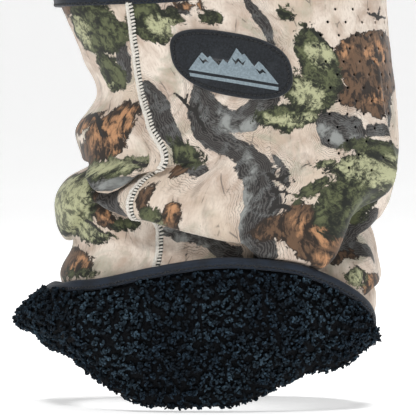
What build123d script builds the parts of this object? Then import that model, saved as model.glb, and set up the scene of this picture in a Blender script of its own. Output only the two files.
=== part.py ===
"""Fleece-lined tubular neck warmer with its lower edge turned up on one side.

Frame: +Z up the tube, +X towards the wearer's face (the punched breathing zone), -Y the side
that carries the patch and the turned-up fleece. The origin is on the resting plane, under the
middle of the bounding box. Units are millimetres.

The cloth has two layers, a printed shell and a sherpa lining. Each layer is two panels, front
and back, which meet at two upright flatlock seams. Every layer is a slice of one family of
lofted tubes, so neighbouring pieces share their faces exactly.
"""

from build123d import *
import math
import os

# ---- cloth ----------------------------------------------------------------------------------
SHELL_THICKNESS = 1.2
PILE_THICKNESS = 6.0
WALL = SHELL_THICKNESS + PILE_THICKNESS
BINDING_CLOTH = 0.7
THREAD = 0.5

# ---- the tube: height, left edge in X, right edge in X, half depth in Y ---------------------
TUBE_SECTIONS = [
    (-12, -84, 88, 62),
    (20, -88, 94, 65),
    (42, -90, 98, 66),
    (60, -91, 102, 66),
    (78, -90, 103, 66),
    (96, -86, 104, 66),
    (111, -89, 102, 67),
    (124, -91, 109, 68),
    (136, -86, 113, 69),
    (147, -71, 114, 70),
    (166, -78, 114, 71),
    (187, -66, 113, 72),
    (208, -75, 111, 71),
    (226, -83, 109, 69),
    (250, -93, 109, 67),
    (292, -100, 106, 64),
]

LOFT_STEP = 13.0

# ---- the turned-up edge, outside the tube, measured over the pile ---------------------------
CUFF_SECTIONS = [
    (-12, -98, 92, 70),
    (14, -110, 99, 77),
    (42, -115, 107, 79),
    (68, -112, 111, 77),
    (92, -104, 114, 75),
    (112, -104, 114, 75),
]

# ---- outlines in the XZ plane ---------------------------------------------------------------
FACE_EDGE = [(-130, 246), (-60, 247), (-8, 250), (55, 266), (130, 286)]
REST_LEFT, REST_RIGHT = -58.0, 18.0
FOLD_LEFT = [(-130, 58), (-108, 34), (-86, 17), (REST_LEFT, 0)]
FOLD_RIGHT = [(REST_RIGHT, 0), (46, 13), (84, 22), (108, 37), (130, 62)]
HEM = [(-130, 68), (-92, 74), (-46, 83), (0, 90), (50, 84), (88, 64), (108, 39), (114, 26)]
REACH = 150.0

# ---- where the turned-up edge runs out, as a straight cut seen from above -------------------
CUFF_END_RIGHT = (144.0, 0.1)
CUFF_END_LEFT = (-148.0, 37.9)

# ---- seams, bindings, patch -----------------------------------------------------------------
SEAM_X = -40.0
SEAM_WIDTH = 4.4
FACE_BINDING_WIDTH = 8.0
HEM_BINDING_WIDTH = 5.0
BINDING_EDGE = 0.8
STITCH_INSET = 1.2

PATCH_CENTRE = (14.0, 205.0)
PATCH_SIZE = (71.0, 38.0)
PATCH_TILT = -9.5
PATCH_THICKNESS = 1.3
PATCH_STITCH_INSET = 2.4
EMBLEM_THICKNESS = 0.3

# ---- the middle of the bounding box in the frame in which everything above is drawn ---------
MIDDLE_X, MIDDLE_Y = -0.3, -3.4

# ---- punched breathing holes ----------------------------------------------------------------
HOLE_DIAMETER = 1.6
HOLE_ROW_PITCH = 7.8
HOLE_PITCH = 12.2
HOLE_ROWS = 13
HOLE_TOP = 237.0
HOLES_ACROSS = 5.5
HOLE_ZONE_POWER = 3.0


def section_at(sections, height):
    """Left edge, right edge and half depth at a height, eased between the listed sections."""
    for i, (low, high) in enumerate(zip(sections, sections[1:])):
        if height > high[0] and high is not sections[-1]:
            continue
        before = sections[max(i - 1, 0)]
        after = sections[min(i + 2, len(sections) - 1)]
        span = high[0] - low[0]
        t = (height - low[0]) / span
        values = []
        for k in (1, 2, 3):
            slope_low = (high[k] - before[k]) / (high[0] - before[0]) * span
            slope_high = (after[k] - low[k]) / (after[0] - low[0]) * span
            values.append(
                (2 * t**3 - 3 * t**2 + 1) * low[k]
                + (t**3 - 2 * t**2 + t) * slope_low
                + (3 * t**2 - 2 * t**3) * high[k]
                + (t**3 - t**2) * slope_high
            )
        return values
    raise ValueError(height)


def loft_tube(sections, grow):
    """One closed tube through evenly spaced ellipses, each grown outwards by the same amount."""
    bottom, top = sections[0][0], sections[-1][0]
    count = round((top - bottom) / LOFT_STEP)
    ellipses = []
    for i in range(count + 1):
        height = bottom + (top - bottom) * i / count
        left, right, depth = section_at(sections, height)
        centre = Pos((left + right) / 2, 0, height)
        ellipses.append(centre * Ellipse((right - left) / 2 + grow, depth + grow))
    return loft(ellipses)


TUBES = {}


def tube(grow):
    """The tube's surface moved out by grow, or in where it is negative."""
    if grow not in TUBES:
        TUBES[grow] = loft_tube(TUBE_SECTIONS, grow)
    return TUBES[grow]


CUFFS = {}


def cuff(grow):
    """The turned-up edge's outer surface moved out by grow, or in where it is negative."""
    if grow not in CUFFS:
        CUFFS[grow] = loft_tube(CUFF_SECTIONS, grow)
    return CUFFS[grow]


def slab(outline):
    """A closed outline in the XZ plane, made solid all the way through the part in Y."""
    return extrude(Plane.XZ * make_face(outline), amount=REACH, both=True)


def shifted(points, rise):
    return [(x, z + rise) for x, z in points]


def below_face_edge(drop):
    """Everything below the upper edge lowered by drop."""
    points = shifted(FACE_EDGE, -drop)
    first, last = points[0], points[-1]
    return slab(
        Curve() + [
            Spline(*points),
            Polyline(last, (last[0], -40), (first[0], -40), first),
        ]
    )


def above_fold(rise):
    """Everything above the lower edge raised by rise."""
    left, right = shifted(FOLD_LEFT, rise), shifted(FOLD_RIGHT, rise)
    return slab(
        Curve() + [
            Spline(*left),
            Line(left[-1], right[0]),
            Spline(*right),
            Polyline(right[-1], (right[-1][0], 330), (left[0][0], 330), left[0]),
        ]
    )


def below_hem(drop):
    """Everything below the turned-up edge's hem lowered by drop."""
    points = shifted(HEM, -drop)
    first, last = points[0], points[-1]
    return slab(
        Curve() + [
            Spline(*points),
            Polyline(last, (last[0], -60), (first[0], -60), first),
        ]
    )


def cuff_side(inside):
    """The side of the part where the lower edge is turned up, or the other side."""
    far = -REACH if inside else REACH
    outline = Polyline(
        CUFF_END_RIGHT,
        CUFF_END_LEFT,
        (CUFF_END_LEFT[0], far),
        (CUFF_END_RIGHT[0], far),
        CUFF_END_RIGHT,
    )
    return extrude(make_face(outline), amount=400).moved(Location((0, 0, -60)))


def seam_side(front):
    """The half space in front of the seams, or behind them."""
    width = 2 * REACH
    centre_x = SEAM_X + REACH if front else SEAM_X - REACH
    return Pos(centre_x, 0, 140) * Box(width, width, 500)


def wall_layer(outer, inner, bottom_cuffed, bottom_plain):
    """A layer of the standing wall: its lower end sits higher where the edge is turned up."""
    ring = (tube(outer) - tube(inner)) & below_face_edge(BINDING_EDGE)
    cuffed = ring & above_fold(bottom_cuffed) & cuff_side(True)
    plain = ring & above_fold(bottom_plain) & cuff_side(False)
    return cuffed + plain


ZONES = {}


def flap_zone(rise, drop):
    """The slab between the raised fold and the lowered hem, on the turned-up side."""
    if (rise, drop) not in ZONES:
        ZONES[rise, drop] = above_fold(rise) & below_hem(drop) & cuff_side(True)
    return ZONES[rise, drop]


def fold_zone(low, high):
    """The slab just above the fold, between two rises, on the turned-up side."""
    return (above_fold(low) - above_fold(high)) & below_hem(BINDING_EDGE) & cuff_side(True)


def lining():
    """The sherpa: the wall's inside, round the fold, and up the outside of the flap."""
    wall = wall_layer(-SHELL_THICKNESS, -WALL, PILE_THICKNESS, BINDING_EDGE)
    flap = (cuff(0) - cuff(-PILE_THICKNESS)) & flap_zone(PILE_THICKNESS, BINDING_EDGE)
    fold = (cuff(0) - tube(-WALL)) & fold_zone(0, PILE_THICKNESS)
    return wall + (flap + fold)


def shell():
    """The printed cloth: the wall's outside, round inside the fold, and up inside the flap."""
    wall = wall_layer(0, -SHELL_THICKNESS, WALL, BINDING_EDGE)
    flap = (cuff(-PILE_THICKNESS) - cuff(-WALL)) & flap_zone(WALL, BINDING_EDGE)
    fold = (cuff(-PILE_THICKNESS) - tube(-SHELL_THICKNESS)) & fold_zone(PILE_THICKNESS, WALL)
    return wall + (flap + fold)


def breathing_holes():
    """The punches for a staggered field of holes, centred on the wearer's mouth."""
    punches = []
    middle = (HOLE_ROWS - 1) / 2
    for row in range(HOLE_ROWS):
        height = HOLE_TOP - row * HOLE_ROW_PITCH
        left, right, half_depth = section_at(TUBE_SECTIONS, height)
        centre_x, half_width = (left + right) / 2, (right - left) / 2
        end_radius = half_depth**2 / half_width
        across = HOLES_ACROSS * (1 - abs((row - middle) / (middle + 1)) ** HOLE_ZONE_POWER) ** (
            1 / HOLE_ZONE_POWER
        )
        stagger = 0.5 * (row % 2)
        for step in range(-6, 7):
            place = step + stagger
            if abs(place) > across:
                continue
            turn = place * HOLE_PITCH / (end_radius * 1.55)
            x = centre_x + half_width * math.cos(turn)
            y = half_depth * math.sin(turn)
            normal = Vector(math.cos(turn) / half_width, math.sin(turn) / half_depth, 0)
            at = Plane(origin=(x, y, height), z_dir=normal.normalized())
            punches.append(at * Cylinder(HOLE_DIAMETER / 2, 8))
    return punches


def face_binding():
    """The stretch tape folded over the upper edge."""
    band = below_face_edge(0) - below_face_edge(FACE_BINDING_WIDTH)
    tape = (tube(BINDING_CLOTH) - tube(-WALL - BINDING_CLOTH)) & band
    covered = (tube(0) - tube(-WALL)) & below_face_edge(BINDING_EDGE)
    return tape - covered


def face_binding_stitching():
    band = below_face_edge(FACE_BINDING_WIDTH - STITCH_INSET - THREAD)
    band = band - below_face_edge(FACE_BINDING_WIDTH - STITCH_INSET)
    return (tube(BINDING_CLOTH + THREAD) - tube(BINDING_CLOTH)) & band


def hem_binding():
    """The stretch tape folded over the lower edge: on top of the flap, and under the back."""
    flap_band = flap_zone(WALL, 0) - below_hem(HEM_BINDING_WIDTH)
    flap_tape = (cuff(BINDING_CLOTH) - cuff(-WALL - BINDING_CLOTH)) & flap_band
    flap_covered = (cuff(0) - cuff(-WALL)) & flap_zone(0, BINDING_EDGE)
    on_flap = flap_tape - flap_covered
    back_band = above_fold(0) - above_fold(HEM_BINDING_WIDTH)
    back_tape = (tube(BINDING_CLOTH) - tube(-WALL - BINDING_CLOTH)) & back_band
    back_covered = (tube(0) - tube(-WALL)) & above_fold(BINDING_EDGE)
    on_back = (back_tape - back_covered) & cuff_side(False)
    return on_flap + on_back


def hem_binding_stitching():
    inset = HEM_BINDING_WIDTH - STITCH_INSET
    flap_band = flap_zone(WALL, inset - THREAD) - below_hem(inset)
    on_flap = (cuff(BINDING_CLOTH + THREAD) - cuff(BINDING_CLOTH)) & flap_band
    back_band = above_fold(inset - THREAD) - above_fold(inset)
    on_back = (tube(BINDING_CLOTH + THREAD) - tube(BINDING_CLOTH)) & back_band & cuff_side(False)
    return on_flap + on_back


def seam_stitching(right_side):
    """The flatlock thread over one seam, from the upper binding to the lower edge."""
    side = -REACH / 2 if right_side else REACH / 2
    strip = Pos(SEAM_X, side, 140) * Box(SEAM_WIDTH, REACH, 500)
    wall = (tube(THREAD) - tube(0)) & strip & below_face_edge(FACE_BINDING_WIDTH)
    if not right_side:
        return wall & above_fold(HEM_BINDING_WIDTH)
    wall = wall & above_fold(WALL)
    flap = (cuff(-WALL) - cuff(-WALL - THREAD)) & (strip & flap_zone(WALL, HEM_BINDING_WIDTH))
    return wall + flap


def patch_outline(inset):
    """The patch's rounded oval, tilted in the XZ plane and made solid towards -Y."""
    width, height = PATCH_SIZE[0] - 2 * inset, PATCH_SIZE[1] - 2 * inset
    corner = height * 0.42
    shape = Rot(0, 0, PATCH_TILT) * Ellipse(width / 2, height / 2)
    body = Rot(0, 0, PATCH_TILT) * RectangleRounded(width * 0.88, height * 0.88, corner * 0.88)
    outline = Plane.XZ * Pos(*PATCH_CENTRE) * (shape + body)
    return extrude(outline, amount=REACH)


def patch_base():
    return (tube(PATCH_THICKNESS) - tube(0)) & patch_outline(0)


def patch_stitching():
    ring = patch_outline(PATCH_STITCH_INSET) - patch_outline(PATCH_STITCH_INSET + THREAD)
    return (tube(PATCH_THICKNESS + THREAD) - tube(PATCH_THICKNESS)) & ring


def patch_emblem():
    """A plain row of three peaks over a ground bar, printed in thick ink."""
    x, z = PATCH_CENTRE
    peaks = [
        (-24, -6), (-13, 5), (-8, 0.5), (1, 10), (9, 1.5), (14, 5.5), (25, -6), (-24, -6),
    ]
    ground = [(-24, -8), (25, -8), (25, -10.5), (-24, -10.5), (-24, -8)]
    turn = Rot(0, 0, PATCH_TILT)
    marks = Sketch() + [turn * make_face(Polyline(*points)) for points in (peaks, ground)]
    prism = extrude(Plane.XZ * Pos(x, z) * marks, amount=REACH)
    return (tube(PATCH_THICKNESS + EMBLEM_THICKNESS) - tube(PATCH_THICKNESS)) & prism


def build():
    """Every sub-part by name."""
    sherpa = lining()
    print_cloth = shell()
    front_cloth = print_cloth & seam_side(True)
    front_cloth = front_cloth - breathing_holes()
    return {
        "shell_front_panel": front_cloth,
        "shell_back_panel": print_cloth & seam_side(False),
        "lining_front_panel": sherpa & seam_side(True),
        "lining_back_panel": sherpa & seam_side(False),
        "face_edge_binding": face_binding(),
        "face_binding_stitching": face_binding_stitching(),
        "hem_binding": hem_binding(),
        "hem_binding_stitching": hem_binding_stitching(),
        "seam_stitching_right": seam_stitching(True),
        "seam_stitching_left": seam_stitching(False),
        "patch_base": patch_base(),
        "patch_stitching": patch_stitching(),
        "patch_emblem": patch_emblem(),
    }


os.makedirs("parts", exist_ok=True)
to_row_frame = Location((-MIDDLE_X, -MIDDLE_Y, 0))
for node, shape in build().items():
    export_step(shape.moved(to_row_frame), f"parts/{node}.step")
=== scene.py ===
"""Looks for a fleece-lined tubular neck warmer whose lower edge is turned up on one side.

Lengths below are millimetres in the row frame: +X towards the wearer's face, -Y the side with
the patch, +Z up. Meshes are made in metres.

A place on the cloth is (s, z): s is the length round the tube, from 0 at the middle of the face,
over the patch side, to the nape at half the girth and back along the far side; z is the height
that the cloth would have without its folds.
"""

import math

import bpy
import numpy as np
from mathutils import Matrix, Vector


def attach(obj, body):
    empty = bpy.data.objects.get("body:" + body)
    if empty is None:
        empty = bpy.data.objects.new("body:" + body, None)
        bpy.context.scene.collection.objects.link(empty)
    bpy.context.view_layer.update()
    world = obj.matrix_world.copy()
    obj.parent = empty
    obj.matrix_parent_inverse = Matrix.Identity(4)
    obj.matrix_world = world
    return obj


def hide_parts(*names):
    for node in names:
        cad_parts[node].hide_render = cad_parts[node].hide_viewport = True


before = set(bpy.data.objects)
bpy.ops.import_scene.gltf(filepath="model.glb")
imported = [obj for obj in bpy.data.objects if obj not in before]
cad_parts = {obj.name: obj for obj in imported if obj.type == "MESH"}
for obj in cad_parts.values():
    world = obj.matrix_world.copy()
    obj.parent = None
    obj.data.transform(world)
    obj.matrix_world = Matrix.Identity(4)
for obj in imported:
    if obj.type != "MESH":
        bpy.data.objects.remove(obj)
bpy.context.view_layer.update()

MM = 0.001
rng = np.random.default_rng(11)

# ---- the tube: height, left edge in X, right edge in X, half depth in Y ---------------------
MIDDLE_Y = 3.4
TUBE_SECTIONS = [
    (-12, -82, 88, 58),
    (20, -82, 94, 60),
    (42, -80, 97, 61),
    (60, -80, 101, 61),
    (78, -88, 102, 61),
    (96, -84, 102, 61),
    (111, -88, 101, 62),
    (124, -90, 108, 64),
    (136, -85, 112, 65),
    (147, -73, 114, 66),
    (166, -77, 114, 67),
    (187, -67, 113, 67),
    (208, -75, 111, 66),
    (226, -83, 109, 64),
    (250, -93, 108, 62),
    (292, -100, 106, 60),
]
ROUNDNESS = 2.4  # 2 is an ellipse; more has flatter sides and tighter ends
MEAN_HALF_WIDTH, MEAN_HALF_DEPTH = 98.0, 63.0

# ---- the cloth ------------------------------------------------------------------------------
COLUMN_STEP = 1.2
ROW_STEP = 1.1
SHELL_THICKNESS = 0.9
PILE = 6.5
TOP_OF_CLOTH = 283.0
EVEN_ROWS = (104.0, 236.0)  # rows are level between these heights

FACE_EDGE = [(-130, 246), (-60, 247), (-8, 250), (55, 266), (130, 286)]


# ---- small tools ----------------------------------------------------------------------------
def eased(points, at):
    """A smooth curve through (x, y) points, read at every value of at."""
    px, py = np.array(points, float).T[:2]
    at = np.clip(np.asarray(at, float), px[0], px[-1])
    i = np.clip(np.searchsorted(px, at, side="right") - 1, 0, len(px) - 2)
    before, after = np.maximum(i - 1, 0), np.minimum(i + 2, len(px) - 1)
    span = px[i + 1] - px[i]
    t = (at - px[i]) / span
    slope_low = (py[i + 1] - py[before]) / (px[i + 1] - px[before]) * span
    slope_high = (py[after] - py[i]) / (px[after] - px[i]) * span
    return (
        (2 * t**3 - 3 * t**2 + 1) * py[i]
        + (t**3 - 2 * t**2 + t) * slope_low
        + (3 * t**2 - 2 * t**3) * py[i + 1]
        + (t**3 - t**2) * slope_high
    )


def step_up(low, high, at):
    """0 below low, 1 above high, and smooth between."""
    t = np.clip((np.asarray(at, float) - low) / (high - low), 0, 1)
    return t * t * (3 - 2 * t)


LATTICE_SIZE = 32
LATTICE = np.random.default_rng(3).random((LATTICE_SIZE,) * 3)


def noise(points, size):
    """Smooth noise from -1 to 1 at points (n, 3), with features about size across."""
    p = np.asarray(points, float) / size
    cell = np.floor(p).astype(int)
    f = p - cell
    f = f * f * (3 - 2 * f)
    total = 0
    for corner in range(8):
        o = np.array([corner >> 2 & 1, corner >> 1 & 1, corner & 1])
        w = np.prod(np.where(o, f, 1 - f), axis=-1)
        c = (cell + o) % LATTICE_SIZE
        total = total + w * LATTICE[c[..., 0], c[..., 1], c[..., 2]]
    return 2 * total - 1


def rough_noise(points, size, octaves=3):
    return sum(noise(points + 7.3 * k, size / 2**k) / 2**k for k in range(octaves))


def unit(vectors):
    """The same directions, each of length 1."""
    return vectors / np.linalg.norm(vectors, axis=-1, keepdims=True)


# ---- the tube's plain surface ---------------------------------------------------------------
def rounded_ring():
    """Unit X and Y round the ring, its outward normal, and the length along it."""
    t = np.linspace(0, 2 * math.pi, 4001)
    c, s = np.cos(t), np.sin(t)
    x = np.sign(c) * np.abs(c) ** (2 / ROUNDNESS)
    y = -np.sign(s) * np.abs(s) ** (2 / ROUNDNESS)
    steps = np.hypot(np.diff(x) * MEAN_HALF_WIDTH, np.diff(y) * MEAN_HALF_DEPTH)
    along = np.concatenate([[0], np.cumsum(steps)])
    even = np.linspace(0, along[-1], 2001)
    x, y = np.interp(even, along, x), np.interp(even, along, y)
    dx = np.gradient(x) * MEAN_HALF_WIDTH
    dy = np.gradient(y) * MEAN_HALF_DEPTH
    size = np.hypot(dx, dy)
    return x, y, -dy / size, dx / size, even


RING_X, RING_Y, RING_NX, RING_NY, RING_S = rounded_ring()
GIRTH = RING_S[-1]
COLUMNS = 2 * round(GIRTH / COLUMN_STEP / 2)
COLUMN_S = np.arange(COLUMNS) * GIRTH / COLUMNS
NAPE_S = GIRTH / 2


def on_ring(table, s):
    return np.interp(np.mod(s, GIRTH), RING_S, table)


def section(z):
    heights = [row[0] for row in TUBE_SECTIONS]
    return [eased([(h, row[k]) for h, row in zip(heights, TUBE_SECTIONS)], z) for k in (1, 2, 3)]


def tube_point(s, z, out=0.0):
    """A point on the unfolded tube, moved outwards by out."""
    left, right, depth = section(z)
    x = (left + right) / 2 + (right - left) / 2 * on_ring(RING_X, s)
    y = MIDDLE_Y + depth * on_ring(RING_Y, s)
    normal_x, normal_y = on_ring(RING_NX, s), on_ring(RING_NY, s)
    return np.stack([x + normal_x * out, y + normal_y * out, np.asarray(z) + 0 * x], axis=-1)


def s_at(x, z, far=False):
    """The place round the tube that shows at X and height z on the patch side, or the far one."""
    left, right, _ = section(float(z))
    across = np.clip((x - (left + right) / 2) / ((right - left) / 2), -1, 1)
    half = RING_S <= NAPE_S
    s = float(np.interp(-across, -RING_X[half], RING_S[half]))
    return GIRTH - s if far else s


def turned_round(s):
    """A difference in s, taken the short way round the tube."""
    return np.mod(s + NAPE_S, GIRTH) - NAPE_S


def swelled(out, spots, s, at):
    """Adds soft swellings to out: place round, place up, radius round, radius up, amount."""
    for spot_s, spot_at, wide, tall, amount in spots:
        round_it = turned_round(s - spot_s)
        out = out + amount * np.exp(-((round_it / wide) ** 2) - ((at - spot_at) / tall) ** 2)
    return out


# ---- folds ----------------------------------------------------------------------------------
# Each fold is a lip that hangs over a crease: (x, z, strength) points on the patch side, from
# the face to the nape, then on the far side from the nape to the face.
FOLD_SHAPE = [  # distance above the crease in fold widths, bulge, slide towards the lip
    (-1.7, 0.0, 0.0),
    (-0.9, -0.25, 0.0),
    (-0.4, -0.75, 0.1),
    (-0.12, -1.0, 0.12),
    (0.0, -0.9, 0.0),
    (0.1, -0.3, -0.55),
    (0.22, 0.35, -0.95),
    (0.4, 0.82, -1.05),
    (0.65, 1.0, -0.85),
    (1.1, 0.75, -0.5),
    (1.7, 0.3, -0.18),
    (2.6, 0.0, 0.0),
]
NAPE_ROLL = {
    "width": 13.0, "bulge": 5.0, "crease": 8.5, "slide": 8.0,
    "near": [
        (60, 150, 0), (10, 148, 0), (-12, 147, 0.25), (-25, 145, 0.6), (-38, 143, 0.8),
        (-46, 139, 0.95), (-54, 136, 1.1), (-62, 141, 1.0), (-69, 149, 0.8),
    ],
    "far": [(-66, 148, 0.9), (-52, 142, 0.9), (-36, 139, 0.7), (-14, 143, 0.35), (20, 148, 0)],
}
COWL = {
    "width": 16.0, "bulge": 8.0, "crease": 10.5, "slide": 9.0,
    "near": [
        (107, 143, 0), (103, 141, 0.35), (98, 134, 0.9), (86, 118, 1.15), (74, 102, 1.1),
        (65, 89, 1.0), (50, 84, 0.9), (38, 89, 0.9), (30, 96, 0.9),
        (22, 102, 0.9), (7, 105, 0.9), (-17, 111, 0.9), (-33, 116, 0.9), (-45, 118, 0.85),
        (-58, 120, 0.6), (-70, 122, 0.3), (-80, 108, 0.25), (-86, 99, 0.4),
    ],
    "far": [
        (-80, 101, 0.5), (-60, 112, 0.8), (-30, 110, 0.9), (0, 101, 0.9), (34, 91, 0.9),
        (62, 96, 0.9), (82, 112, 0.9), (95, 128, 0.7), (103, 140, 0),
    ],
}
CHIN_ROLL = {
    "width": 9.0, "bulge": 3.0, "crease": 4.0, "slide": 3.0,
    "near": [
        (101, 112, 0.9), (99, 110, 0.8), (94, 104, 0.6), (86, 97, 0.3), (70, 90, 0), (-60, 90, 0),
    ],
    "far": [(-60, 90, 0), (60, 92, 0), (84, 98, 0.4), (97, 107, 0.8)],
}
LOW_ROLL = {
    "width": 9.0, "bulge": 3.0, "crease": 4.0, "slide": 4.0,
    "near": [(102, 76, 0.8), (98, 73, 0.9), (91, 68, 0.9), (80, 62, 0.5), (60, 60, 0), (-60, 60, 0)],
    "far": [(-60, 60, 0), (40, 58, 0.2), (70, 60, 0.6), (92, 68, 0.8)],
}
FOLDS = [NAPE_ROLL, COWL, CHIN_ROLL, LOW_ROLL]

# A soft dent or swelling: x, z, far side, radius round, radius up, amount outwards.
DENTS = [
    (91, 117, False, 10, 13, -13),
    (84, 98, False, 12, 10, -6),
    (93, 88, False, 9, 7, 3),
    (-47, 137, False, 7, 4, -6),
    (-54, 133, False, 7, 4.5, -6),
    (10, 128, False, 42, 22, 5),
    (-30, 100, False, 40, 10, -4),
    (40, 178, False, 34, 26, 2),
    (88, 116, True, 12, 13, -8),
    (0, 126, True, 40, 20, 4),
]
DENTS = [(s_at(x, z, far), z, *rest) for x, z, far, *rest in DENTS]
DEEPEST_CREASE, DEEPEST_DENT = 7.8, 10.0


def closed_path(fold):
    """A fold's (s, height, strength) points, carried on past both ends of the ring."""
    points = sorted(
        [(s_at(x, z), z, w) for x, z, w in fold["near"]]
        + [(s_at(x, z, far=True), z, w) for x, z, w in fold["far"]]
    )
    before = [(s - GIRTH, z, w) for s, z, w in points[-3:]]
    after = [(s + GIRTH, z, w) for s, z, w in points[:3]]
    return before + points + after


FOLD_PATHS = [(fold, closed_path(fold)) for fold in FOLDS]


def folded(s, z):
    """How far the folds move the cloth: along s, along z, and outwards."""
    s, z = np.broadcast_arrays(np.asarray(s, float), np.asarray(z, float))
    move_s, move_z, out = np.zeros(s.shape), np.zeros(s.shape), np.zeros(s.shape)
    for fold, path in FOLD_PATHS:
        strength = np.clip(eased([(at, w) for at, _, w in path], s), 0, None)
        slope = (eased(path, s + 1) - eased(path, s - 1)) / 2
        lean = np.sqrt(1 + np.minimum(slope**2, 1.6))
        across = (z - eased(path, s)) / lean / fold["width"]
        bulge = eased(FOLD_SHAPE, across)
        slide = eased([(at, move) for at, _, move in FOLD_SHAPE], across)
        out += strength * np.where(bulge > 0, fold["bulge"], fold["crease"]) * bulge
        amount = strength * fold["slide"] * slide
        move_z += amount / lean
        move_s -= amount * slope / lean
    return move_s, move_z, out


def dented(s, z):
    """How far the soft dents and swellings move the cloth outwards."""
    return swelled(0.0, DENTS, s, z)


def wall_point(s, z, out=0.0):
    """A point on the folded outside of the tube, moved outwards by out."""
    move_s, move_z, swell = folded(s, z)
    plain = tube_point(s, z)
    s, z = s + move_s, z + move_z
    swell = swell + 1.1 * noise(plain, 34) + 0.4 * noise(plain, 12)
    swell = np.maximum(swell, -DEEPEST_CREASE) + np.maximum(dented(s, z), -DEEPEST_DENT)
    above_hem = np.maximum(z - hem_height(s) - 1.0, 0)
    under_flap = flap_out(s, 0.9) - PILE - 1.5 + 4.0 * above_hem
    swell = np.where(turned_share(s) > 0.5, np.minimum(swell, under_flap), swell)
    return tube_point(s, z, swell + out)


FACE_EDGE_HEIGHT = 262.0  # near enough to read the upper edge's X from the tube


def face_edge(s):
    """Height of the upper edge round the tube."""
    x = tube_point(s, np.full(np.shape(s), FACE_EDGE_HEIGHT))[..., 0]
    return eased(FACE_EDGE, x)


# ---- the turned-up edge ---------------------------------------------------------------------
# Over the tube's width, from -1 at the nape to 1 at the face: the fold's height, the hem's
# height, and how far the flap's belly stands out.
FOLD_HEIGHT = [
    (-1, 30), (-0.9, 26), (-0.82, 18), (-0.7, 10), (-0.55, 3), (-0.42, 0), (0.05, 0), (0.19, 2),
    (0.45, 12), (0.62, 19), (0.8, 21), (0.9, 25), (1, 36),
]
HEM_HEIGHT = [
    (-1, 73), (-0.85, 77), (-0.7, 79), (-0.4, 86), (-0.1, 91), (0.13, 91.5), (0.43, 88.5),
    (0.58, 84), (0.73, 77), (0.87, 67), (0.95, 57), (1, 42),
]
BELLY = [(-1, 32), (-0.85, 27), (-0.6, 20), (0, 17), (0.5, 16), (0.8, 13), (0.95, 11), (1, 10)]
FLAP_ENDS_AT_FACE = (-26.0, -6.0)  # in s
FLAP_ENDS_PAST_NAPE = (16.0, 62.0)  # in s, from the nape
TURN_RADIUS = 12.0
RIDGES = [  # swellings of the flap: x, share of its height, radius round, radius up, outwards
    (28, 0.55, 36, 0.22, 3.5),
    (68, 0.7, 26, 0.25, -4.0),
    (62, 0.1, 24, 0.3, -3.0),
    (-60, 0.5, 40, 0.3, 3.0),
    (-92, 0.2, 22, 0.34, 6.5),
    (-20, 0.25, 30, 0.3, 2.0),
]
RIDGE_HEIGHT = 60.0  # where the ridges' x is read
RIDGES = [(s_at(x, RIDGE_HEIGHT), *rest) for x, *rest in RIDGES]
FLAP_SHAPE = [(0, 0.62), (0.12, 0.86), (0.35, 1.0), (0.65, 0.9), (0.88, 0.62), (1, 0.5)]
FLAP_ROWS, TURN_ROWS, INSIDE_ROWS = 56, 16, 128
ON_FLAP, ON_TURN, INSIDE, NEAR_FACE = range(4)  # the lining's zones


def across_tube(s):
    return on_ring(RING_X, s)


def turned_share(s):
    """1 where the lower edge is turned up, 0 where it hangs straight."""
    s = np.mod(np.asarray(s, float) + GIRTH / 4, GIRTH) - GIRTH / 4
    starts = step_up(*FLAP_ENDS_AT_FACE, s)
    low, high = FLAP_ENDS_PAST_NAPE
    return starts * (1 - step_up(NAPE_S + low, NAPE_S + high, s))


def fold_height(s):
    return eased(FOLD_HEIGHT, across_tube(s)) + 1.5


def hem_height(s):
    low = fold_height(s)
    return low + (eased(HEM_HEIGHT, across_tube(s)) - low - 2) * turned_share(s)


def turn_height(s):
    """How far above the fold's lowest line the flap and the inside wall begin."""
    return np.minimum(TURN_RADIUS, np.maximum(0.3 * (hem_height(s) - fold_height(s)), 1.5))


def flap_out(s, share):
    """How far the flap's pile stands out from the tube, at a share of the flap's height."""
    out = eased(BELLY, across_tube(s)) * eased(FLAP_SHAPE, share)
    out = swelled(out, RIDGES, s, share)
    return (out - 1.0 - 2.5 * step_up(0.86, 1.0, share)) * turned_share(s)


def lining_inset(z):
    """How far the pile's inside face lies within the tube."""
    near_edge = step_up(200, 240, z) * (z > 150)
    low = 1 - step_up(20, 60, z)
    return 12.0 - 4.0 * np.maximum(near_edge, low)


def lining_grid():
    """The sherpa from the hem down the flap, round the turn and up the inside to the face."""
    s = COLUMN_S
    fold, hem, turn = fold_height(s), hem_height(s), turn_height(s)
    rows, zones = [], []
    for share in np.linspace(1, 0, FLAP_ROWS):
        z = fold + turn + (hem - fold - turn) * share
        rows.append(tube_point(s, z, flap_out(s, share)))
        zones.append(ON_FLAP)
    inner_z = fold + turn
    outer, inner = flap_out(s, 0.0), -lining_inset(inner_z)
    for angle in math.pi * np.linspace(0, 1, TURN_ROWS)[1:-1]:
        out = (outer + inner) / 2 + (outer - inner) / 2 * math.cos(angle)
        rows.append(tube_point(s, fold + turn * (1 - math.sin(angle)), out))
        zones.append(ON_TURN)
    for share in np.linspace(0, 1, INSIDE_ROWS):
        z = inner_z + (face_edge(s) - 1.5 - inner_z) * share
        rows.append(tube_point(s, z, np.minimum(dented(s, z), 0) - lining_inset(z)))
        zones.append(INSIDE if share < 0.75 else NEAR_FACE)
    return np.array(rows), np.array(zones)


def grid_normals(grid):
    """Outward normals of a (rows, columns, 3) grid that closes round its columns."""
    along = np.roll(grid, -1, axis=1) - np.roll(grid, 1, axis=1)
    normal = np.cross(along, np.gradient(grid, axis=0))
    size = np.linalg.norm(normal, axis=-1, keepdims=True)
    return normal / np.maximum(size, 1e-9)


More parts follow.
